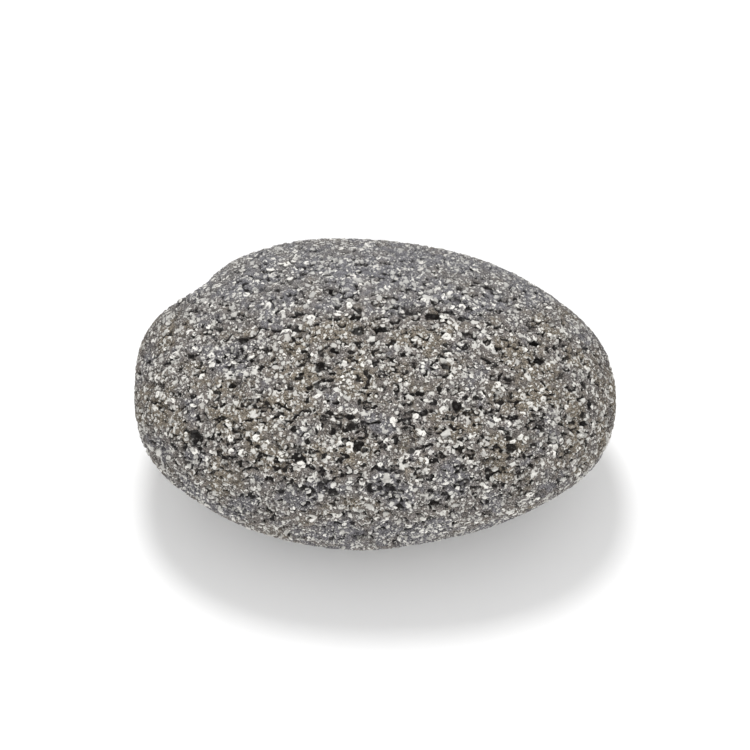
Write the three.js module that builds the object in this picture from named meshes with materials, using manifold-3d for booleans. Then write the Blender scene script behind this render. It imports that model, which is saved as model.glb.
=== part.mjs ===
// A lava rock of the kind sold for rubbing feet smooth: one tumbled cobble of vesicular lava.
// It formed as one piece, so it is one closed solid: a plump, slightly boxy egg whose skin has a worn
// hollow in its left shoulder, soft swellings and flats, and the largest gas vesicles opened as pits.
// It lies on a small worn flat under its belly.
//
// Units are millimetres. +X runs along the stone, +Y to its back and +Z up. The origin is under the
// middle, on the resting plane.

import * as THREE from "three";
import { mergeVertices } from "three/addons/utils/BufferGeometryUtils.js";
import Module from "manifold-3d";

// Driving dimensions, of the egg before wear
const LENGTH = 100;
const DEPTH = 66;
const HEIGHT = 51;
const BOXINESS = 2.3; // 2 is a plain ellipsoid, and more fills out its corners
const WORN_FLAT = 0.7; // how much of the belly has gone at the resting flat

// Worn forms of the skin. turn is counted about +Z from +X and up from the equator, in degrees. along and
// across are how far a form reaches, in degrees, lean turns its length from level, and rise is how far it
// stands out, or sinks in where it is negative.
const FORMS = [
  { turn: 110, up: 33, along: 28, across: 24, lean: 0, rise: 2.5 }, // crown behind the hollow
  { turn: 142, up: 23, along: 6, across: 12, lean: 0, rise: -2.3 }, // hollow in the left shoulder
  { turn: 140, up: 56, along: 22, across: 6, lean: 14, rise: -1.1 }, // crease from the hollow over the top
  { turn: 162, up: 12, along: 12, across: 14, lean: 0, rise: 0.9 }, // cheek under the hollow
  { turn: 38, up: 22, along: 22, across: 24, lean: 0, rise: -2.0 }, // long fall to the right end
  { turn: -46, up: -22, along: 20, across: 18, lean: 0, rise: -2.1 }, // right end, drawn in below
  { turn: -68, up: -28, along: 14, across: 14, lean: 0, rise: -0.9 }, // keel, right of the front
  { turn: -140, up: -24, along: 20, across: 16, lean: 0, rise: -1.4 }, // left end, drawn in below
  { turn: -94, up: -30, along: 12, across: 12, lean: 0, rise: 0.5 }, // fullest part of the belly
  { turn: -95, up: 18, along: 30, across: 16, lean: 0, rise: 0.5 }, // brow of the front face
];

// The largest vesicles of the front and top: where the mouth is, its width and height, and the pit's depth.
const LANDMARK_PITS = [
  { turn: -81, up: 40, width: 5.4, height: 4.2, depth: 1.9 },
  { turn: -104, up: 45, width: 3.2, height: 2.8, depth: 2.4 },
  { turn: -161, up: 54, width: 3.8, height: 2.0, depth: 1.8 },
  { turn: -143, up: 49, width: 3.2, height: 3.2, depth: 1.5 },
  { turn: -123, up: 71, width: 2.8, height: 2.2, depth: 1.8 },
  { turn: -144, up: 66, width: 2.4, height: 2.0, depth: 1.5 },
  { turn: 146, up: 57, width: 3.2, height: 2.0, depth: 1.4 },
  { turn: 163, up: 63, width: 2.6, height: 1.8, depth: 1.3 },
  { turn: -46, up: 49, width: 2.2, height: 2.2, depth: 1.8 },
  { turn: -62, up: 23, width: 3.8, height: 3.2, depth: 1.2 },
  { turn: -97, up: 7, width: 3.4, height: 2.6, depth: 1.4 },
  { turn: -116, up: 3, width: 3.2, height: 2.6, depth: 1.4 },
];

// More vesicles, scattered over the whole skin but for the resting flat
const SCATTERED_PITS = 36;
const SCATTERED_WIDTH = [2.2, 3.6];
const HEIGHT_SHARE = [0.65, 0.95]; // a mouth's height over its width
const DEPTH_SHARE = [0.4, 0.6]; // a pit's depth over its mouth's width
const PIT_SPACING = 14; // the least angle between two pits' middles, in degrees
const LOWEST_PIT = -62; // below this the belly meets the resting flat
const SEED = 20;

const SKIN_DETAIL = 14; // how often each edge of the skin's icosahedron is split
const PIT_DETAIL = 1; // the same for a pit's wall
const MOUTH_SHARE = 0.92; // a pit's mouth is a little narrower than the vesicle behind it
const SAME_CORNER = 1e-4; // corners closer than this are one

const degrees = THREE.MathUtils.degToRad;
const half = new THREE.Vector3(LENGTH / 2, DEPTH / 2, HEIGHT / 2);

// The unit direction at a turn about +Z and a height above the equator.
function towards(turn, up) {
  const level = Math.cos(degrees(up));
  return new THREE.Vector3(
    level * Math.cos(degrees(turn)),
    level * Math.sin(degrees(turn)),
    Math.sin(degrees(up)),
  );
}

// How far a form moves the skin in a unit direction: a smooth bell, longer along its lean than across.
function liftOf(form, direction) {
  const middle = towards(form.turn, form.up);
  if (direction.dot(middle) < 0) return 0;
  const level = new THREE.Vector3(0, 0, 1).cross(middle).normalize();
  const upright = middle.clone().cross(level);
  const lean = degrees(form.lean);
  const right = direction.dot(level);
  const above = direction.dot(upright);
  const onward = right * Math.cos(lean) + above * Math.sin(lean);
  const aside = above * Math.cos(lean) - right * Math.sin(lean);
  const reach = (onward / degrees(form.along)) ** 2 + (aside / degrees(form.across)) ** 2;
  return form.rise * Math.exp(-reach);
}

// The way out of the skin in a unit direction.
function outwardAt(direction) {
  return direction.clone().divide(half).normalize();
}

// The point of the skin in a unit direction, about the egg's own middle.
function skinPoint(direction) {
  const powers = direction.toArray().map((part) => Math.abs(part) ** BOXINESS);
  const reach = (powers[0] + powers[1] + powers[2]) ** (-1 / BOXINESS);
  const lift = FORMS.reduce((sum, form) => sum + liftOf(form, direction), 0);
  const egg = direction.clone().multiplyScalar(reach).multiply(half);
  return egg.addScaledVector(outwardAt(direction), lift);
}

function skinGeometry() {
  const geometry = new THREE.IcosahedronGeometry(1, SKIN_DETAIL);
  const places = geometry.getAttribute("position");
  const direction = new THREE.Vector3();
  for (let i = 0; i < places.count; i++) {
    direction.fromBufferAttribute(places, i).normalize();
    places.setXYZ(i, ...skinPoint(direction).toArray());
  }
  return geometry;
}

// The gas bubble behind a pit: an ellipsoid whose mouth in the skin has the pit's width and height.
function bubbleGeometry(pit) {
  const direction = towards(pit.turn, pit.up);
  const outward = outwardAt(direction);
  const level = new THREE.Vector3(0, 0, 1).cross(outward).normalize();
  const upright = outward.clone().cross(level);
  const sunk = Math.sqrt(1 - MOUTH_SHARE ** 2); // the middle's share of the half depth below the skin
  const halfDepth = pit.depth / (1 + sunk);
  const size = [pit.width / 2 / MOUTH_SHARE, pit.height / 2 / MOUTH_SHARE, halfDepth];
  const place = new THREE.Matrix4().makeBasis(level, upright, outward);
  place.setPosition(skinPoint(direction).addScaledVector(outward, -sunk * halfDepth));
  place.multiply(new THREE.Matrix4().makeScale(...size));
  return new THREE.IcosahedronGeometry(1, PIT_DETAIL).applyMatrix4(place);
}

// Evenly drawn numbers from 0 to 1, the same on every run, from a linear congruential generator.
function* drawsFrom(seed) {
  const factor = 1664525;
  const step = 1013904223;
  let state = seed;
  while (true) {
    state = (Math.imul(state, factor) + step) >>> 0;
    yield state / 2 ** 32;
  }
}

// Pits at drawn places, each well clear of those before it.
function scatteredPits(taken) {
  const draws = drawsFrom(SEED);
  const draw = (low, high) => low + (high - low) * draws.next().value;
  const pits = [];
  while (pits.length < SCATTERED_PITS) {
    const turn = draw(-180, 180);
    const up = THREE.MathUtils.radToDeg(Math.asin(draw(Math.sin(degrees(LOWEST_PIT)), 1)));
    const width = draw(...SCATTERED_WIDTH);
    const height = width * draw(...HEIGHT_SHARE);
    const depth = width * draw(...DEPTH_SHARE);
    const middle = towards(turn, up);
    const clear = [...taken, ...pits].every(
      (other) => middle.angleTo(towards(other.turn, other.up)) > degrees(PIT_SPACING),
    );
    if (clear) pits.push({ turn, up, width, height, depth });
  }
  return pits;
}

const wasm = await Module();
wasm.setup();

function solidOf(geometry) {
  const bare = geometry.clone();
  bare.deleteAttribute("normal");
  bare.deleteAttribute("uv");
  const merged = mergeVertices(bare, SAME_CORNER);
  const vertProperties = merged.getAttribute("position").array;
  const triVerts = new Uint32Array(merged.index.array);
  return new wasm.Manifold(new wasm.Mesh({ numProp: 3, vertProperties, triVerts }));
}

function geometryOf(solid) {
  const mesh = solid.getMesh();
  const geometry = new THREE.BufferGeometry();
  geometry.setAttribute("position", new THREE.BufferAttribute(mesh.vertProperties, 3));
  geometry.setIndex(new THREE.BufferAttribute(mesh.triVerts, 1));
  geometry.computeVertexNormals();
  return geometry;
}

// What wear has taken off under the resting flat.
function wornAway() {
  const slab = new THREE.BoxGeometry(2 * LENGTH, 2 * DEPTH, HEIGHT);
  return slab.translate(0, 0, WORN_FLAT - HEIGHT);
}

// Moved so that the resting flat is at zero height and the stone's middle is over the origin.
function onItsFlat(geometry) {
  geometry.computeBoundingBox();
  const { min, max } = geometry.boundingBox;
  return geometry.translate(-(min.x + max.x) / 2, -(min.y + max.y) / 2, -min.z);
}

function stoneGeometry() {
  const pits = [...LANDMARK_PITS, ...scatteredPits(LANDMARK_PITS)];
  const cuts = [...pits.map(bubbleGeometry), wornAway()];
  const stone = cuts.reduce((rest, cut) => rest.subtract(solidOf(cut)), solidOf(skinGeometry()));
  return onItsFlat(geometryOf(stone));
}

const lava = new THREE.MeshStandardMaterial({ color: 0x7d7974, roughness: 0.92, metalness: 0 });
const rock = new THREE.Mesh(stoneGeometry(), lava);
rock.name = "lava_rock";

const group = new THREE.Group();
group.add(rock);

export default group;
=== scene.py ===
"""The looks of a lava rock: gas vesicles, feldspar crystals and grain on a worn cobble, and its stage.

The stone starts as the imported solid, smoothed. Vesicles are then opened in its skin, each one the inside
of a real bubble with an undercut rim. Hollows and grain are broken out of the lava between them, and the
crystals in it are left standing a little proud. Chips of feldspar are set in that skin as a second piece.
Places are in metres in the frame of the part. Patterns are worked out in millimetres.
"""

import math

import bmesh
import bpy
import numpy as np
from bpy.props import FloatProperty, FloatVectorProperty, IntProperty, PointerProperty
from bpy.types import Operator, Panel, PropertyGroup
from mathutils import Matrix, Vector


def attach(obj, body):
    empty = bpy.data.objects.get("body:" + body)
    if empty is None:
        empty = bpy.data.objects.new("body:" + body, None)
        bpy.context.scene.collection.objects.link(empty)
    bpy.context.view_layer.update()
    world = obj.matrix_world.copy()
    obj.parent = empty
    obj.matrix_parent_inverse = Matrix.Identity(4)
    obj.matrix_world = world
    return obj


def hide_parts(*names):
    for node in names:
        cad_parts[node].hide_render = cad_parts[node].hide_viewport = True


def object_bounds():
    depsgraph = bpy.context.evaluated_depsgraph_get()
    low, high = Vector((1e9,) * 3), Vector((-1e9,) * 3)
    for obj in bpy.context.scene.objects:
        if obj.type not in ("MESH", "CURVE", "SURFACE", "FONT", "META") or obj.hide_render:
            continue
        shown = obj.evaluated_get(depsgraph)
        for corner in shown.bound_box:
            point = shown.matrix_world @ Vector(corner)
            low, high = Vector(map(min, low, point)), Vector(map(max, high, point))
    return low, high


bl_info = {
    "name": "Lava rock",
    "version": (1, 0, 0),
    "blender": (4, 5, 0),
    "location": "3D View > Sidebar > Lava rock",
    "description": "Opens vesicles and sets crystals in a lava cobble, and lights it",
    "category": "Add Mesh",
}

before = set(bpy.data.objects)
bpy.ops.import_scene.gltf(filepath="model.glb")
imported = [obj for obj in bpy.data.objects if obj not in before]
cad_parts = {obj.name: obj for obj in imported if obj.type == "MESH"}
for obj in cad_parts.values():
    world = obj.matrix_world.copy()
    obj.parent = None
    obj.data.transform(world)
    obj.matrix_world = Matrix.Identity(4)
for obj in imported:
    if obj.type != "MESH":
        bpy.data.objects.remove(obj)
CAD_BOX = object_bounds()

NODE = "lava_rock"
STONE = "vesicular_stone"
CHIPS = "feldspar_chips"
SHEET = "OFBake"  # name of each piece's map
MM = 0.001
PER_METRE = 1000.0


# ---------------------------------------------------------------------------------------------------------
# Sizes and colours that a user would change
# ---------------------------------------------------------------------------------------------------------


def millimetres(name, description, default):
    """A length setting, shown in the scene's units."""
    return FloatProperty(
        name=name,
        description=description,
        default=default * MM,
        min=0,
        subtype="DISTANCE",
        unit="LENGTH",
        precision=5,
    )


def whole(name, description, default, least=0):
    """A setting that counts something."""
    return IntProperty(name=name, description=description, default=default, min=least)


def slope(name, description, default):
    """An angle setting, given in degrees."""
    return FloatProperty(name=name, description=description, default=math.radians(default), subtype="ANGLE")


def amount(name, description, default):
    """A setting of lens or light."""
    return FloatProperty(name=name, description=description, default=default, min=0)


def colour(name, description, default):
    """A colour setting, in linear light."""
    return FloatVectorProperty(
        name=name, description=description, default=default, min=0, max=1, size=3, subtype="COLOR"
    )


class StoneSizes(PropertyGroup):
    """How finely the stone is made, and how rough it is."""

    voxel: millimetres("Voxel", "Grid that the worn skin is rebuilt on", 0.7)
    soften: whole("Soften", "Rounds of smoothing of the skin", 3)
    triangles: whole("Triangles", "Most triangles in the stone", 190000, 1000)
    pitting: millimetres("Pitting", "Depth of the ragged hollows between the vesicles", 1.0)
    roughness: millimetres("Roughness", "Depth of the broken grain of the lava", 0.45)
    crystal_rise: millimetres("Crystal rise", "How far crystals stand out of the lava", 0.12)


class ChipSizes(PropertyGroup):
    """How many feldspar chips stand in the skin, and how large they are."""

    count: whole("Count", "Chips in each square centimetre", 38)
    least: millimetres("Least width", "Width of the smallest chips", 0.5)
    largest: millimetres("Largest width", "Width of the largest chips", 1.9)
    shapes: whole("Shapes", "How many different shapes of chip are made", 8, 1)
    tilt: slope("Tilt", "How far a chip may lean out of the skin", 20)


class LavaColours(PropertyGroup):
    """Colours of the lava and of what is in it, and of the painted shade and sheen laid on it."""

    lava: colour("Lava", "Groundmass of the stone", (0.155, 0.141, 0.131))
    warm: colour("Warm lava", "Olive brown patches of the groundmass", (0.170, 0.147, 0.117))
    cool: colour("Cool lava", "Blue grey patches of the groundmass", (0.144, 0.139, 0.146))
    # the darker glassy lining of the vesicles, also laid in their crevices as painted shade
    hollow: colour("Hollow", "Lining of the vesicles", (0.016, 0.014, 0.014))
    feldspar: colour("Feldspar", "The palest crystals", (0.78, 0.765, 0.72))
    chip: colour("Chips", "Greyer crystals", (0.58, 0.564, 0.53))
    # a pale bluish film on the back shoulder: partly dust, partly a painted sheen of the light
    dust: colour("Dust", "Film on the worn shoulder at the back", (0.27, 0.275, 0.295))


class StudioSettings(PropertyGroup):
    """Where the camera stands, and how bright the stage is."""

    elevation: slope("Camera height", "Angle above the horizon", 50)
    distance: millimetres("Distance", "From the camera to the stone", 450)
    lens: amount("Lens", "Focal length in millimetres", 104)
    key: amount("Key", "Power of the large lamp above the stone, in watts", 1.4)
    front: amount("Front", "Power of the large lamp before the stone, in watts", 0.85)
    fill: amount("Fill", "Strength of the light from all round", 0.7)


# ---------------------------------------------------------------------------------------------------------
# Wiring of nodes
# ---------------------------------------------------------------------------------------------------------


class Wiring:
    """Adds nodes to a shader or geometry tree and joins them. A value is a socket or a plain number."""

    def __init__(self, tree):
        self.tree = tree

    def feed(self, socket, value):
        if isinstance(value, bpy.types.NodeSocket):
            self.tree.links.new(value, socket)
        else:
            socket.default_value = value

    def node(self, kind, inputs=None, **settings):
        made = self.tree.nodes.new(kind)
        for name, value in settings.items():
            setattr(made, name, value)
        for name, value in (inputs or {}).items():
            self.feed(made.inputs[name], value)
        return made

    def maths(self, operation, *values):
        return self.node("ShaderNodeMath", dict(enumerate(values)), operation=operation).outputs[0]

    def vector(self, operation, *values):
        made = self.node("ShaderNodeVectorMath", operation=operation)
        for socket, value in zip(made.inputs, values):
            self.feed(socket, value)
        return made.outputs["Value" if operation in ("LENGTH", "DOT_PRODUCT") else "Vector"]

    def scaled(self, vector, factor):
        inputs = {"Vector": vector, "Scale": factor}
        return self.node("ShaderNodeVectorMath", inputs, operation="SCALE").outputs[0]

    def parts(self, vector):
        return self.node("ShaderNodeSeparateXYZ", {0: vector}).outputs

    def joined(self, x, y, z):
        return self.node("ShaderNodeCombineXYZ", {"X": x, "Y": y, "Z": z}).outputs[0]

    def between(self, value, low, high, to_low=0.0, to_high=1.0, smooth=True):
        """A value from low to high, turned into one from to_low to to_high and held there outside."""
        made = self.node("ShaderNodeMapRange", {0: value, 1: low, 2: high, 3: to_low, 4: to_high})
        made.interpolation_type = "SMOOTHSTEP" if smooth else "LINEAR"
        return made.outputs[0]

    def mix(self, factor, a, b):
        return self.node("ShaderNodeMix", {0: factor, 2: a, 3: b}, data_type="FLOAT").outputs[0]

    def mix_vectors(self, factor, a, b):
        return self.node("ShaderNodeMix", {0: factor, 4: a, 5: b}, data_type="VECTOR").outputs[1]

    def mix_colours(self, factor, a, b, blend="MIX"):
        made = self.node("ShaderNodeMix", {0: factor, 6: a, 7: b}, data_type="RGBA", blend_type=blend)
        return made.outputs[2]

    def noise(self, place, scale, detail, roughness):
        """Cloudy noise of about 0.5. Scale is in cells to the millimetre."""
        inputs = {"Vector": place, "Scale": scale, "Detail": detail, "Roughness": roughness}
        return self.node("ShaderNodeTexNoise", inputs).outputs["Fac"]

    def noted(self, geometry, name, value, kind="FLOAT", domain="POINT"):
        """The geometry with a value kept on it under a name."""
        inputs = {"Geometry": geometry, "Name": name}
        made = self.node("GeometryNodeStoreNamedAttribute", inputs, data_type=kind, domain=domain)
        self.feed(made.inputs["Value"], value)
        return made.outputs[0]

    def recalled(self, name, kind="FLOAT"):
        """A value kept on the geometry."""
        made = self.node("GeometryNodeInputNamedAttribute", {"Name": name}, data_type=kind)
        return made.outputs["Attribute"]

    def drawn(self, low, high, seed):
        """A number from low to high, drawn anew for each point."""
        return self.node("FunctionNodeRandomValue", {2: low, 3: high, "Seed": seed}).outputs[1]

    def group(self, tree, inputs):
        kind = "ShaderNodeGroup" if self.tree.bl_idname == "ShaderNodeTree" else "GeometryNodeGroup"
        made = self.node(kind, node_tree=tree)
        for name, value in inputs.items():
            self.feed(made.inputs[name], value)
        return made.outputs


def new_group(name, kind, inputs, outputs):
    """An empty node group with the given sockets, its wiring, and its inputs and outputs."""
    tree = bpy.data.node_groups.new(name, kind)
    for direction, sockets in (("INPUT", inputs), ("OUTPUT", outputs)):
        for socket, socket_type in sockets.items():
            tree.interface.new_socket(socket, in_out=direction, socket_type="NodeSocket" + socket_type)
    wiring = Wiring(tree)
    return tree, wiring, wiring.node("NodeGroupInput").outputs, wiring.node("NodeGroupOutput")


def new_modifier_tree(name):
    """An empty tree for a modifier, its wiring, the geometry it is given, and where its result goes."""
    geometry = {"Geometry": "Geometry"}
    tree, wiring, given, out = new_group(name, "GeometryNodeTree", geometry, geometry)
    tree.is_modifier = True
    return tree, wiring, given["Geometry"], out.inputs["Geometry"]


def place_group(place_of, kind):
    """Returns the group of that name and kind of tree, and builds it the first time."""
    name = f"{place_of.__name__}_{kind}"
    return bpy.data.node_groups.get(name) or place_of(name, kind)


# ---------------------------------------------------------------------------------------------------------
# Patterns of the lava, used for its shape and for its colours
# ---------------------------------------------------------------------------------------------------------

# Each size of bubble: spacing of the cells they grow in, least and largest radius (mm), and the share of
# cells that hold one
BUBBLES = (
    (8.0, 1.0, 2.2, 0.50),
    (3.9, 0.7, 1.5, 0.70),
    (2.3, 0.45, 0.85, 0.75),
)
BUBBLE_SCATTER = 0.85  # how far bubbles stray from an even grid
LEAST_MOUTH = 0.8  # of a bubble's radius, so that no rim hangs over too far
LEAST_OPENING = 0.1  # radius of the smallest mouth, in mm

# Each size of crystal: spacing of the cells they grow in (mm), share of cells with one, and half length over
# spacing
CRYSTALS = (
    (2.8, 0.36, 0.37),
    (1.45, 0.64, 0.43),
    (0.80, 0.52, 0.45),
    (0.45, 0.42, 0.46),
)
CRYSTAL_SCATTER = 0.9
CRYSTAL_BLOCKS = ((1.0, 0.62, 0.48), (2.7, 0.50, 0.66))  # a crystal is two blocks: turn, and width and height
SHORTEST_CRYSTAL = 0.55  # of the longest
CRYSTAL_EDGE = 0.035  # softness of its edge, over its spacing

# Places are shaken by noise, so that what is drawn there has broken edges: scales (1/mm) and reaches (mm)
BUBBLE_SHAKES = ((0.25, 1.0), (0.8, 0.45), (2.0, 0.16))
CRYSTAL_SHAKES = ((0.9, 0.18), (2.8, 0.12), (7.0, 0.04))

# Sets one size's cells apart from the next size's
BUBBLE_OFFSET = (17.3, 5.1, 9.7)
CRYSTAL_OFFSET = (3.3, 11.9, 7.7)

# Ragged hollows and broken grain: scale of their noise (1/mm), and where in it they start and are deepest
HOLLOWS = (0.48, 0.53, 0.60)
GRAIN = (0.95, 0.40, 0.62)

# The lava flowed along the stone, which drew its bubbles and hollows out that way
FLOW = (0.76, 1.0, 1.0)

# The shoulder at the back is worn smoother than the rest, and so are the ends. It lies far along this way.
# Its dust and painted sheen, and the painted tint off the middle, are laid along this way too.
BACK_SHOULDER = (0.0, 0.766, 0.643)
MIDDLE_ALONG_BACK = 16.0  # how far the stone's middle lies along it, in mm
WORN_BACK = (31.0, 43.0)  # where along it the wear starts and is full
WORN_ENDS = (30.0, 48.0)  # the same for the ends, from the middle of the stone
END_WEAR = 0.6  # of the wear of the shoulder
WORN_RELIEF = 0.5  # relief left under full wear
BUBBLE_RELIEF = 0.5  # relief of the wall of a vesicle, of that of the skin

SMALL = 1e-4  # keeps a division from failing


def feldspar_crystals(name, kind):
    """Oriented blocks scattered in space. Crystal is 1 inside one, and each has a Tone of its own."""
    inputs = {"Place": "Vector", "Spacing": "Float", "Share": "Float", "Size": "Float"}
    tree, w, given, out = new_group(name, kind, inputs, {"Crystal": "Float", "Tone": "Float"})
    place = w.scaled(given["Place"], w.maths("DIVIDE", 1.0, given["Spacing"]))
    cell = w.node("ShaderNodeTexVoronoi", {"Vector": place, "Scale": 1.0, "Randomness": CRYSTAL_SCATTER})
    off_centre = w.vector("SUBTRACT", place, cell.outputs["Position"])
    draw = w.node("ShaderNodeTexWhiteNoise", {"Vector": cell.outputs["Position"]}, noise_dimensions="3D")
    rolls = w.parts(draw.outputs["Color"])
    others = w.parts(cell.outputs["Color"])
    longest = w.maths("MULTIPLY", given["Size"], w.mix(others[0], SHORTEST_CRYSTAL, 1.0))
    blocks = []
    for turn, width, height in CRYSTAL_BLOCKS:
        angles = w.scaled(draw.outputs["Color"], turn * math.tau)
        turning = {"Vector": off_centre, "Rotation": angles}
        turned = w.node("ShaderNodeVectorRotate", turning, rotation_type="EULER_XYZ")
        away = w.parts(w.vector("ABSOLUTE", turned.outputs[0]))
        sides = w.maths("MAXIMUM", w.maths("DIVIDE", away[1], width), w.maths("DIVIDE", away[2], height))
        blocks.append(w.maths("MAXIMUM", away[0], sides))
    inside = w.maths("SUBTRACT", longest, w.maths("MINIMUM", *blocks))
    there = w.maths("LESS_THAN", rolls[0], given["Share"])
    w.feed(out.inputs["Crystal"], w.maths("MULTIPLY", w.between(inside, -CRYSTAL_EDGE, CRYSTAL_EDGE), there))
    w.feed(out.inputs["Tone"], others[1])
    return tree


def gas_bubbles(name, kind):
    """Opens the bubbles that meet the skin.

    Shift moves a point of the skin onto its bubble's wall, and Depth says how far down that is.
    """
    inputs = {"Place": "Vector", "Normal": "Vector"}
    inputs.update(dict.fromkeys(("Spacing", "Least", "Largest", "Share"), "Float"))
    outputs = {"Shift": "Vector", "Depth": "Float", "Open": "Float"}
    tree, w, given, out = new_group(name, kind, inputs, outputs)
    unit = w.scaled(given["Place"], w.maths("DIVIDE", 1.0, given["Spacing"]))
    cell = w.node("ShaderNodeTexVoronoi", {"Vector": unit, "Scale": 1.0, "Randomness": BUBBLE_SCATTER})
    away = w.scaled(w.vector("SUBTRACT", unit, cell.outputs["Position"]), given["Spacing"])
    draws = w.parts(cell.outputs["Color"])
    radius = w.mix(draws[0], given["Least"], given["Largest"])
    above = w.vector("DOT_PRODUCT", away, given["Normal"])  # negative where the bubble's middle is outside
    aside = w.vector("SUBTRACT", away, w.scaled(given["Normal"], above))
    reach = w.maths("MAXIMUM", w.vector("LENGTH", aside), SMALL)
    mouth_square = w.maths("SUBTRACT", w.maths("POWER", radius, 2.0), w.maths("POWER", above, 2.0))
    mouth = w.maths("SQRT", w.maths("MAXIMUM", mouth_square, SMALL))
    round_radius = w.maths("MINIMUM", radius, w.maths("DIVIDE", mouth, LEAST_MOUTH))
    buried = w.maths("GREATER_THAN", above, 0.0)
    ball = w.mix(buried, radius, round_radius)
    sunk_square = w.maths("SUBTRACT", w.maths("POWER", ball, 2.0), w.maths("POWER", mouth, 2.0))
    sunk = w.maths("SQRT", w.maths("MAXIMUM", sunk_square, 0.0))
    sunk = w.maths("MULTIPLY", sunk, w.mix(buried, -1.0, 1.0))
    rim = w.maths("ARCCOSINE", w.maths("DIVIDE", w.maths("MULTIPLY", sunk, -1.0), ball))
    angle = w.maths("MULTIPLY", rim, w.maths("MINIMUM", w.maths("DIVIDE", reach, mouth), 1.0))
    out_by = w.maths("MULTIPLY", ball, w.maths("SINE", angle))
    depth = w.maths("ADD", sunk, w.maths("MULTIPLY", ball, w.maths("COSINE", angle)))
    sideways = w.scaled(aside, w.maths("DIVIDE", w.maths("SUBTRACT", out_by, reach), reach))
    shift = w.vector("SUBTRACT", sideways, w.scaled(given["Normal"], depth))
    inside = w.maths("LESS_THAN", reach, mouth)
    there = w.maths("LESS_THAN", draws[1], given["Share"])
    met = w.maths("GREATER_THAN", mouth_square, LEAST_OPENING**2)
    opened = w.maths("MULTIPLY", w.maths("MULTIPLY", inside, there), met)
    w.feed(out.inputs["Shift"], w.scaled(shift, opened))
    w.feed(out.inputs["Depth"], w.maths("MULTIPLY", depth, opened))
    w.feed(out.inputs["Open"], opened)
    return tree


def shaken(w, place, shakes):
    """A place moved about by noise of each scale, as far as its reach."""
    for scale, reach in shakes:
        cloud = w.node("ShaderNodeTexNoise", {"Vector": place, "Scale": scale, "Detail": 1.0})
        shake = w.vector("SUBTRACT", cloud.outputs["Color"], (0.5, 0.5, 0.5))
        place = w.vector("ADD", place, w.scaled(shake, 2.0 * reach))
    return place


def open_vesicles(w, place, normal):
    """The shift, the depth and the openness of the deepest vesicle at each point of the skin."""
    place = shaken(w, place, BUBBLE_SHAKES)
    shift, depth, opened = (0.0, 0.0, 0.0), 0.0, 0.0
    for index, (spacing, least, largest, part) in enumerate(BUBBLES):
        moved = w.vector("ADD", place, [index * step for step in BUBBLE_OFFSET])
        inputs = {"Place": moved, "Normal": normal, "Spacing": spacing, "Share": part}
        inputs.update({"Least": least, "Largest": largest})
        bubble = w.group(place_group(gas_bubbles, w.tree.bl_idname), inputs)
        deeper = w.maths("GREATER_THAN", bubble["Depth"], depth)
        shift = w.mix_vectors(deeper, shift, bubble["Shift"])
        depth = w.mix(deeper, depth, bubble["Depth"])
        opened = w.maths("MAXIMUM", opened, bubble["Open"])
    return shift, depth, opened


def set_crystals(w, place, sizes):
    """The union of several sizes of crystals: how much each point is crystal, and its tone."""
    place = shaken(w, place, CRYSTAL_SHAKES)
    crystal, tone = 0.0, 0.0
    for index, (spacing, part, size) in enumerate(sizes):
        moved = w.vector("ADD", place, [index * step for step in CRYSTAL_OFFSET])
        inputs = {"Place": moved, "Spacing": spacing, "Share": part, "Size": size}
        found = w.group(place_group(feldspar_crystals, w.tree.bl_idname), inputs)
        larger = w.maths("GREATER_THAN", found["Crystal"], crystal)
        crystal = w.maths("MAXIMUM", crystal, found["Crystal"])
        tone = w.mix(larger, tone, found["Tone"])
    return crystal, tone


# ---------------------------------------------------------------------------------------------------------
# The stone
# ---------------------------------------------------------------------------------------------------------


def broken_out(w, place, pattern, depth):
    """How much of the lava is gone at each place, in a pattern of noise and up to the depth."""
    scale, start, full = pattern
    return w.between(w.noise(place, scale, 2.0, 0.6), start, full, 0.0, depth * PER_METRE)


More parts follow.
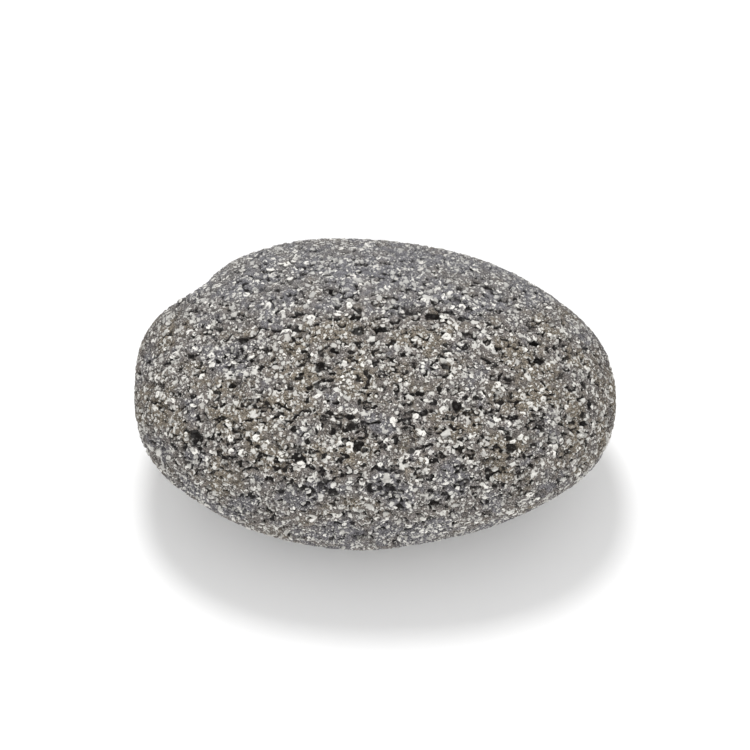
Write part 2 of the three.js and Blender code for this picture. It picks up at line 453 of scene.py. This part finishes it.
def lava_surface(sizes):
    """Geometry nodes that open the vesicles, raise the crystals and break up the lava between them."""
    cavity_rounds = 14  # of blurring over about half a millimetre, against which a crevice shows as deep
    pit_rounds = 150  # the same over a pit's width
    pit_darkness = 1.6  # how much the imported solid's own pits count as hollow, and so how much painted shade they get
    tree, w, given, out = new_modifier_tree("lava_surface")
    place = w.scaled(w.node("GeometryNodeInputPosition").outputs[0], PER_METRE)
    normal = w.node("GeometryNodeInputNormal").outputs["Normal"]
    flowed = w.vector("MULTIPLY", place, FLOW)
    flowed_normal = w.vector("NORMALIZE", w.vector("DIVIDE", normal, FLOW))
    shift, depth, opened = open_vesicles(w, flowed, flowed_normal)
    shift = w.vector("DIVIDE", shift, FLOW)
    shoulder = w.between(w.vector("DOT_PRODUCT", place, BACK_SHOULDER), *WORN_BACK)
    ends = w.between(w.maths("ABSOLUTE", w.parts(place)[0]), *WORN_ENDS, 0.0, END_WEAR)
    unworn = w.mix(w.maths("MAXIMUM", shoulder, ends), 1.0, WORN_RELIEF)
    shift = w.scaled(shift, unworn)
    depth = w.maths("MULTIPLY", depth, unworn)
    pitted = w.maths("MULTIPLY", broken_out(w, flowed, HOLLOWS, sizes.pitting), unworn)
    broken = broken_out(w, flowed, GRAIN, sizes.roughness)
    crystal, _ = set_crystals(w, place, CRYSTALS[:2])
    beside_crystals = w.maths("MULTIPLY", w.maths("SUBTRACT", 1.0, crystal), sizes.crystal_rise * PER_METRE)
    worn = w.maths("ADD", w.maths("ADD", pitted, broken), beside_crystals)
    worn = w.maths("MULTIPLY", worn, w.mix(opened, 1.0, BUBBLE_RELIEF))
    evened = w.node("GeometryNodeBlurAttribute", {"Iterations": pit_rounds}, data_type="FLOAT_VECTOR")
    w.feed(evened.inputs["Value"], place)
    sunk = w.vector("DOT_PRODUCT", w.vector("SUBTRACT", evened.outputs[0], place), normal)
    sunk = w.maths("MAXIMUM", w.maths("MULTIPLY", sunk, pit_darkness), 0.0)
    lift = w.scaled(normal, w.maths("MULTIPLY", worn, -1.0))
    moved = w.scaled(w.vector("ADD", w.vector("ADD", place, shift), lift), MM)
    noted = w.noted(given, "outward", normal, "FLOAT_VECTOR")
    noted = w.noted(noted, "hollow", w.maths("ADD", w.maths("ADD", depth, worn), sunk))
    hollow = w.recalled("hollow")
    # the cavity kept here sets the painted shade of crevices in the material
    around = w.node("GeometryNodeBlurAttribute", {"Iterations": cavity_rounds}, data_type="FLOAT")
    w.feed(around.inputs["Value"], hollow)
    noted = w.noted(noted, "cavity", w.maths("SUBTRACT", hollow, around.outputs[0]))
    w.feed(out, w.node("GeometryNodeSetPosition", {"Geometry": noted, "Position": moved}).outputs[0])
    return tree


def inside_box():
    """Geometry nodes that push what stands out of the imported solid's box back to it."""
    tree, w, given, out = new_modifier_tree("inside_box")
    place = w.node("GeometryNodeInputPosition").outputs[0]
    held = w.vector("MINIMUM", w.vector("MAXIMUM", place, CAD_BOX[0]), CAD_BOX[1])
    w.feed(out, w.node("GeometryNodeSetPosition", {"Geometry": given, "Position": held}).outputs[0])
    return tree


def apply_modifier(piece, kind, **settings):
    """Adds a modifier to the active piece and applies it."""
    modifier = piece.modifiers.new(kind.lower(), kind)
    for name, value in settings.items():
        setattr(modifier, name, value)
    bpy.ops.object.modifier_apply(modifier=modifier.name)


def read_all(items, name, kind, width):
    """The named value of every item of a mesh, as an array with a row for each."""
    values = np.empty(len(items) * width, kind)
    items.foreach_get(name, values)
    return values.reshape(-1, width) if width > 1 else values


def lay_out_stone(mesh):
    """Gives the stone a map of six sheets, one for each side of the box that its middle looks at."""
    row_heights = np.array([0.379, 0.294, 0.327])  # ends, front and back, and top and bottom, by their sizes
    row_floors = np.array([0.0, 0.379, 0.673])
    filled = 0.97  # of a sheet, so that sheets stay apart
    low, high = (np.array(corner) for corner in CAD_BOX)
    ways = (read_all(mesh.vertices, "co", np.float32, 3) - (low + high) / 2) / ((high - low) / 2)
    corner_ways = ways[read_all(mesh.loops, "vertex_index", np.int32, 1)]
    triangle_ways = corner_ways.reshape(-1, 3, 3).mean(axis=1)
    facing = np.abs(triangle_ways).argmax(axis=1)
    far_side = np.take_along_axis(triangle_ways, facing[:, None], 1)[:, 0] > 0
    side = np.repeat(facing, 3)
    across, up = np.array([1, 0, 0])[side], np.array([2, 2, 1])[side]
    rows = np.arange(len(side))
    outward = np.abs(corner_ways[rows, side])
    u = np.arctan2(corner_ways[rows, across], outward) / (math.pi / 2)
    v = np.arctan2(corner_ways[rows, up], outward) / (math.pi / 2)
    sheet_u = (0.5 + filled * u) / 2 + np.where(np.repeat(far_side, 3), 0.5, 0.0)
    sheet_v = row_floors[side] + row_heights[side] * (0.5 + filled * v)
    layer = mesh.uv_layers.new(name=SHEET)
    layer.data.foreach_set("uv", np.column_stack([sheet_u, sheet_v]).astype(np.float32).ravel())
    mesh.uv_layers.active = layer


class LAVA_OT_stone(Operator):
    """Makes the stone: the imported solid, smoothed, with its vesicles, crystals and grain"""

    bl_idname = "lava.stone"
    bl_label = "Make the stone"

    def execute(self, context):
        sizes = context.scene.lava_sizes
        same_place = 1e-6
        bpy.ops.object.select_all(action="DESELECT")
        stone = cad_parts[NODE].copy()
        stone.data = stone.data.copy()
        stone.name = stone.data.name = STONE
        for key in list(stone.keys()):
            del stone[key]
        stone.parent = None
        context.collection.objects.link(stone)
        context.view_layer.objects.active = stone
        stone.select_set(True)
        bpy.ops.object.mode_set(mode="EDIT")
        bpy.ops.mesh.select_all(action="SELECT")
        bpy.ops.mesh.remove_doubles(threshold=same_place)
        bpy.ops.object.mode_set(mode="OBJECT")
        apply_modifier(stone, "REMESH", mode="VOXEL", voxel_size=sizes.voxel)
        apply_modifier(stone, "SMOOTH", factor=0.5, iterations=sizes.soften)
        apply_modifier(stone, "SUBSURF", levels=2, render_levels=2)
        apply_modifier(stone, "NODES", node_group=lava_surface(sizes))
        ratio = sizes.triangles / (2 * len(stone.data.polygons))
        apply_modifier(stone, "DECIMATE", ratio=ratio, use_collapse_triangulate=True)
        apply_modifier(stone, "NODES", node_group=inside_box())
        lay_out_stone(stone.data)
        bpy.ops.object.shade_smooth()
        stone.data.materials.clear()
        stone.data.materials.append(lava_material(context.scene.lava_colours))
        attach(stone, "root")
        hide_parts(NODE)
        return {"FINISHED"}


# ---------------------------------------------------------------------------------------------------------
# The feldspar chips
# ---------------------------------------------------------------------------------------------------------


def chip_shape(seed, collection):
    """One broken crystal, about a unit wide: a rough, chamfered top over a point down in the lava."""
    corners = 5 + seed % 2
    across = 0.58 + 0.12 * (seed % 4)  # its second width over its first
    height = 0.55  # its height over that of the cone it starts as
    chamfer = 0.1  # how wide the chamfer round its top is
    crown = 0.14  # how far the top stands over the chamfer's foot
    ruggedness = 0.15  # how far its corners are moved at random
    # a cone that stands on its point, with its top just over the skin
    cone = {"radius1": 0, "radius2": 0.5, "depth": 0.8, "location": (0, 0, -0.38)}
    bpy.ops.object.select_all(action="DESELECT")
    bpy.ops.mesh.primitive_cone_add(vertices=corners, **cone)
    chip = bpy.context.object
    chip.name = chip.data.name = f"chip_shape_{seed}"
    bpy.ops.object.transform_apply(location=True, rotation=False, scale=False)
    bpy.ops.object.mode_set(mode="EDIT")
    bpy.ops.mesh.select_mode(type="FACE")
    mesh = bmesh.from_edit_mesh(chip.data)
    for face in mesh.faces:
        face.select_set(face.normal.z > 0.5)
    bmesh.update_edit_mesh(chip.data)
    bpy.ops.mesh.inset(thickness=chamfer, depth=crown)
    bpy.ops.mesh.select_all(action="SELECT")
    bpy.ops.transform.vertex_random(offset=ruggedness, uniform=0, normal=0, seed=seed)
    bpy.ops.transform.resize(value=(1, across, height))
    bpy.ops.mesh.quads_convert_to_tris()
    bpy.ops.object.mode_set(mode="OBJECT")
    for owner in list(chip.users_collection):
        owner.objects.unlink(chip)
    collection.objects.link(chip)
    spread_round(chip.data)
    return chip


def spread_round(mesh):
    """Maps one chip to a unit square: the top in the middle, its chamfer round that, then its sides."""
    for name in [layer.name for layer in mesh.uv_layers]:
        mesh.uv_layers.remove(mesh.uv_layers[name])
    layer = mesh.uv_layers.new(name=SHEET)
    lowest = min(mesh.vertices, key=lambda corner: corner.co.z)
    middle = np.array([0.5, 0.5])
    edge = 0.47  # how far from the middle the sides reach
    for face in mesh.polygons:
        rims = [mesh.vertices[corner].co for corner in face.vertices if corner != lowest.index]
        way = np.sum([np.array(rim.xy) / rim.xy.length for rim in rims], axis=0)
        for loop in face.loop_indices:
            corner = mesh.vertices[mesh.loops[loop].vertex_index]
            if corner == lowest:
                spot = edge * way / np.linalg.norm(way)
            else:
                spot = np.array(corner.co.xy) / 2
            layer.data[loop].uv = middle + spot


def chips_in_skin(sizes, shapes):
    """Geometry nodes that set chips of the given shapes in the stone's skin, fewer where it is hollow."""
    square_centimetre = 0.01**2
    smallness = 2.6  # how much commoner small chips are
    shallow = 0.5  # hollows deeper than this have fewer chips, in mm
    deep = 1.3  # and this deep they have the fewest
    least_share = 0.2  # of the chips, in the deepest hollows
    tree, w, given, out = new_modifier_tree("chips_in_skin")
    here = w.between(w.recalled("hollow"), shallow, deep, 1.0, least_share)
    density = w.maths("MULTIPLY", here, sizes.count / square_centimetre)
    spread = w.node("GeometryNodeDistributePointsOnFaces", {"Mesh": given, "Density": density, "Seed": 4})
    kinds = w.node("GeometryNodeCollectionInfo", {"Collection": shapes, "Separate Children": True})
    kinds.inputs["Reset Children"].default_value = True
    width = w.mix(w.maths("POWER", w.drawn(0.0, 1.0, 1), smallness), sizes.least, sizes.largest)
    kind_draw = {4: 0, 5: sizes.shapes - 1, "Seed": 2}
    kind = w.node("FunctionNodeRandomValue", kind_draw, data_type="INT").outputs[2]
    skin_way = {"Vector": w.recalled("outward", "FLOAT_VECTOR")}
    upright = w.node("FunctionNodeAlignRotationToVector", skin_way, axis="Z")
    placing = {"Points": spread.outputs["Points"], "Instance": kinds.outputs[0], "Instance Index": kind}
    placing.update({"Rotation": upright.outputs[0], "Scale": w.joined(width, width, width)})
    set_in = w.node("GeometryNodeInstanceOnPoints", placing)
    set_in.inputs["Pick Instance"].default_value = True
    leans = {0: (-sizes.tilt, -sizes.tilt, 0.0), 1: (sizes.tilt, sizes.tilt, math.tau), "Seed": 3}
    lean = w.node("FunctionNodeRandomValue", leans, data_type="FLOAT_VECTOR").outputs[0]
    turned = w.node("GeometryNodeRotateInstances", {"Instances": set_in.outputs[0], "Rotation": lean})
    number = w.node("GeometryNodeInputIndex").outputs[0]
    noted = w.noted(turned.outputs[0], "chip", number, domain="INSTANCE")
    noted = w.noted(noted, "tone", w.drawn(0.0, 1.0, 5), domain="INSTANCE")
    w.feed(out, w.node("GeometryNodeRealizeInstances", {"Geometry": noted}).outputs[0])
    return tree


def lay_out_chips(mesh):
    """Gives each chip's map a square of its own."""
    numbers = read_all(mesh.attributes["chip"].data, "value", np.float32, 1)
    number = np.rint(numbers[read_all(mesh.loops, "vertex_index", np.int32, 1)]).astype(np.int64)
    layer = mesh.uv_layers[SHEET]
    own = read_all(layer.data, "uv", np.float32, 2)
    in_a_row = math.ceil(math.sqrt(number.max() + 1))
    squares = np.column_stack([number % in_a_row, number // in_a_row])
    layer.data.foreach_set("uv", ((squares + own) / in_a_row).astype(np.float32).ravel())


class LAVA_OT_chips(Operator):
    """Sets feldspar chips in the skin of the stone"""

    bl_idname = "lava.chips"
    bl_label = "Set the feldspar chips"

    def execute(self, context):
        sizes = context.scene.lava_chips
        stone = bpy.data.objects.get(STONE)
        if stone is None:
            raise RuntimeError("make the stone first")
        shapes = bpy.data.collections.new("chip_shapes")
        context.scene.collection.children.link(shapes)
        made = [chip_shape(seed + 1, shapes) for seed in range(sizes.shapes)]
        chips = bpy.data.objects.new(CHIPS, stone.data.copy())
        chips.data.name = CHIPS
        context.collection.objects.link(chips)
        bpy.ops.object.select_all(action="DESELECT")
        chips.select_set(True)
        context.view_layer.objects.active = chips
        apply_modifier(chips, "NODES", node_group=chips_in_skin(sizes, shapes))
        lay_out_chips(chips.data)
        apply_modifier(chips, "NODES", node_group=inside_box())
        bpy.ops.object.shade_flat()
        chips.data.materials.clear()
        chips.data.materials.append(feldspar_material(context.scene.lava_colours))
        for shape in made:
            bpy.data.meshes.remove(shape.data)
        bpy.data.collections.remove(shapes)
        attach(chips, "root")
        return {"FINISHED"}


# ---------------------------------------------------------------------------------------------------------
# Finish
# ---------------------------------------------------------------------------------------------------------


# Noises of the finish: scale (1/mm), detail and roughness
TINT_NOISE = (0.12, 4.0, 0.65)
SPECK_NOISE = (4.2, 2.0, 0.75)
GRAIN_NOISE = (2.6, 3.0, 0.7)
STAIN_NOISE = (3.6, 3.0, 0.65)

# Each range says from what to what a value counts, and where four numbers are given, what it then becomes
WARM_PATCHES = (0.49, 0.62)  # tint
COOL_PATCHES = (0.49, 0.38)  # tint
WARM_MIDDLE_AND_PAINTED_COOL = (8.0, 24.0, 0.03, -0.06)  # mm off the middle of the stone, to tint: warmer across the middle, cooler towards the back shoulder and the front foot as painted light
SPECKS = (0.36, 0.64, 0.2, 2.0)  # noise, to how pale the groundmass is
RAISED_GRAIN_AND_CREVICE_SHADE = (-0.3, 0.1, 1.35, 0.95)  # mm into a crevice, to how pale the groundmass is: paler on raised grain, darker in crevices as painted shade
CREVICES = (0.0, 0.23)  # mm into one, over which the painted shade in crevices comes in
DEEP_HOLLOWS = (0.2, 0.9, 0.4, 1.0)  # mm under the skin, to how much of their darker lining and painted shade shows
DUST_AND_PAINTED_SHEEN_BACK = (27.0, 41.0)  # mm along the shoulder's way, over which the dust and painted sheen come in
CHIP_TONES = (0.0, 0.7)  # tone
STAINED = (0.52, 0.70, 0.0, 0.40)  # noise, to how much lava sticks to a chip
CHIP_ROUGHNESS = (0.4, 0.6, 0.55, 0.85)  # noise, to roughness


def opaque(rgb):
    return (*rgb, 1.0)


def new_material(name):
    """A material, its wiring and its shader."""
    material = bpy.data.materials.new(name)
    material.use_nodes = True
    return material, Wiring(material.node_tree), material.node_tree.nodes["Principled BSDF"]


def lava_material(colours):
    """Dry, rough lava: speckled groundmass with cream crystals, paler on raised grain, with dust and painted
    sheen on the back shoulder, and a dark lining and painted shade in its hollows.
    """
    most_dust_and_painted_sheen = 0.25
    most_lining_and_painted_shade = 0.9
    grain_height = 0.5  # in mm
    crystal_height = 0.12
    lava_roughness = 0.9
    crystal_roughness = 0.6
    material, w, shader = new_material("vesicular_lava")
    place = w.scaled(w.node("ShaderNodeTexCoord").outputs["Object"], PER_METRE)
    hollow = w.node("ShaderNodeAttribute", attribute_name="hollow").outputs["Fac"]
    cavity = w.node("ShaderNodeAttribute", attribute_name="cavity").outputs["Fac"]
    crystal, tone = set_crystals(w, place, CRYSTALS)
    along_back = w.vector("DOT_PRODUCT", place, BACK_SHOULDER)
    off_middle = w.maths("ABSOLUTE", w.maths("SUBTRACT", along_back, MIDDLE_ALONG_BACK))
    # painted light: the tint is warmed across the middle and cooled towards the back shoulder and the front
    # foot
    tint = w.maths("ADD", w.noise(place, *TINT_NOISE), w.between(off_middle, *WARM_MIDDLE_AND_PAINTED_COOL))
    ground = w.mix_colours(w.between(tint, *WARM_PATCHES), opaque(colours.lava), opaque(colours.warm))
    ground = w.mix_colours(w.between(tint, *COOL_PATCHES), ground, opaque(colours.cool))
    mottle = w.between(w.noise(place, *SPECK_NOISE), *SPECKS, smooth=False)
    # painted shade: the groundmass is darkened in crevices, and made paler on raised grain
    mottle = w.maths("MULTIPLY", mottle, w.between(cavity, *RAISED_GRAIN_AND_CREVICE_SHADE))
    ground = w.mix_colours(1.0, ground, w.joined(mottle, mottle, mottle), "MULTIPLY")
    pale = w.mix_colours(tone, opaque(colours.chip), opaque(colours.feldspar))
    base = w.mix_colours(crystal, ground, pale)
    # dust and painted sheen: the back shoulder is turned paler and bluer
    base = w.mix_colours(w.between(along_back, *DUST_AND_PAINTED_SHEEN_BACK, 0.0, most_dust_and_painted_sheen), base, opaque(colours.dust))
    # painted shade: the dark lining colour laid where a point is down in a crevice of a deep hollow, partly
    # the vesicles' own darker glass
    lining_and_painted_shade = w.maths("MULTIPLY", w.between(cavity, *CREVICES), w.between(hollow, *DEEP_HOLLOWS))
    base = w.mix_colours(w.maths("MULTIPLY", lining_and_painted_shade, most_lining_and_painted_shade), base, opaque(colours.hollow))
    w.feed(shader.inputs["Base Color"], base)
    w.feed(shader.inputs["Roughness"], w.mix(crystal, lava_roughness, crystal_roughness))
    shader.inputs["Specular IOR Level"].default_value = 0.2
    height = w.maths("MULTIPLY", w.noise(place, *GRAIN_NOISE), grain_height)
    height = w.maths("ADD", height, w.maths("MULTIPLY", crystal, crystal_height))
    bump = w.node("ShaderNodeBump", {"Strength": 1.0, "Distance": MM, "Height": height})
    w.feed(shader.inputs["Normal"], bump.outputs[0])
    return material


def feldspar_material(colours):
    """Milky feldspar: each chip has its own tone, with a fine stain and a rough, broken face."""
    face_height = 0.12  # how rough its faces are, in mm
    material, w, shader = new_material("milky_feldspar")
    place = w.scaled(w.node("ShaderNodeTexCoord").outputs["Object"], PER_METRE)
    tone = w.node("ShaderNodeAttribute", attribute_name="tone").outputs["Fac"]
    stain = w.noise(place, *STAIN_NOISE)
    pale = w.mix_colours(w.between(tone, *CHIP_TONES), opaque(colours.chip), opaque(colours.feldspar))
    base = w.mix_colours(w.between(stain, *STAINED), pale, opaque(colours.lava))
    w.feed(shader.inputs["Base Color"], base)
    w.feed(shader.inputs["Roughness"], w.between(stain, *CHIP_ROUGHNESS))
    shader.inputs["Specular IOR Level"].default_value = 0.3
    height = w.maths("MULTIPLY", stain, face_height)
    bump = w.node("ShaderNodeBump", {"Strength": 1.0, "Distance": MM, "Height": height})
    w.feed(shader.inputs["Normal"], bump.outputs[0])
    return material


def plain_material(name, rgb):
    """One even, matt colour, for the floor."""
    material, _, shader = new_material(name)
    shader.inputs["Base Color"].default_value = opaque(rgb)
    shader.inputs["Roughness"].default_value = 0.8
    return material


# ---------------------------------------------------------------------------------------------------------
# Stage
# ---------------------------------------------------------------------------------------------------------


# Where each lamp hangs and how wide it is, in lengths of the stone
KEY_LAMP = ((-0.4, 1.5, 4.9), 1.5)
FRONT_LAMP = ((0.4, -4.0, 2.6), 3.0)


def hang_lamp(lamp_plan, power, length, target):
    """A round, soft lamp that shines at the target."""
    place, width = lamp_plan
    bpy.ops.object.light_add(type="AREA", location=[length * part for part in place])
    lamp = bpy.context.object
    lamp.data.shape = "DISK"
    lamp.data.size = length * width
    lamp.data.energy = power
    lamp.rotation_euler = (target - lamp.location).to_track_quat("-Z", "Y").to_euler()


class LAVA_OT_stage(Operator):
    """Makes the floor, the lights and the camera"""

    bl_idname = "lava.stage"
    bl_label = "Make the stage"

    def execute(self, context):
        studio = context.scene.lava_studio
        low, high = CAD_BOX
        length = high.x - low.x
        middle = (low + high) / 2
        white = 0.92  # the floor
        floor_width = 40 * length
        floor_gap = 0.05 * MM  # keeps the floor just clear of the resting flat
        above_middle = 4 * MM  # how far up the view is aimed, which lowers the stone in it
        bpy.ops.object.select_all(action="DESELECT")
        bpy.ops.mesh.primitive_plane_add(size=floor_width, location=(0, 0, -floor_gap))
        floor = context.object
        floor.name = "floor"
        floor.data.materials.append(plain_material("pale_floor", (white, white, white)))
        world = bpy.data.worlds.new("studio")
        world.use_nodes = True
        world.node_tree.nodes["Background"].inputs["Strength"].default_value = studio.fill
        world.node_tree.nodes["Background"].inputs["Color"].default_value = (1, 1, 1, 1)
        context.scene.world = world
        hang_lamp(KEY_LAMP, studio.key, length, middle)
        hang_lamp(FRONT_LAMP, studio.front, length, middle)
        rise = studio.elevation
        back = (0, -math.cos(rise), math.sin(rise))
        upward = (0, math.sin(rise), math.cos(rise))
        aim = [m + above_middle * u for m, u in zip(middle, upward)]
        camera = bpy.data.objects.new("camera", bpy.data.cameras.new("camera"))
        camera.location = [a + studio.distance * b for a, b in zip(aim, back)]
        camera.rotation_euler = (math.pi / 2 - rise, 0, 0)
        camera.data.lens = studio.lens
        camera.data.clip_start = 10 * MM
        context.collection.objects.link(camera)
        context.scene.camera = camera
        context.scene.view_settings.view_transform = "Standard"
        return {"FINISHED"}


class LAVA_PT_panel(Panel):
    """Lists the steps and settings of the lava rock"""

    bl_label = "Lava rock"
    bl_space_type = "VIEW_3D"
    bl_region_type = "UI"
    bl_category = "Lava rock"

    def draw(self, context):
        scene = context.scene
        for group in (scene.lava_sizes, scene.lava_chips, scene.lava_colours, scene.lava_studio):
            box = self.layout.box()
            for name in group.bl_rna.properties.keys():
                if name not in ("rna_type", "name"):
                    box.prop(group, name)
        for step in (LAVA_OT_stone, LAVA_OT_chips, LAVA_OT_stage):
            self.layout.operator(step.bl_idname)


SETTINGS = {
    "lava_sizes": StoneSizes,
    "lava_chips": ChipSizes,
    "lava_colours": LavaColours,
    "lava_studio": StudioSettings,
}
CLASSES = (*SETTINGS.values(), LAVA_OT_stone, LAVA_OT_chips, LAVA_OT_stage, LAVA_PT_panel)


def register():
    for made in CLASSES:
        bpy.utils.register_class(made)
    for name, group in SETTINGS.items():
        setattr(bpy.types.Scene, name, PointerProperty(type=group))


def unregister():
    for name in SETTINGS:
        delattr(bpy.types.Scene, name)
    for made in reversed(CLASSES):
        bpy.utils.unregister_class(made)


def main():
    register()
    bpy.ops.lava.stone()
    bpy.ops.lava.chips()
    bpy.ops.lava.stage()


if __name__ == "__main__":
    main()
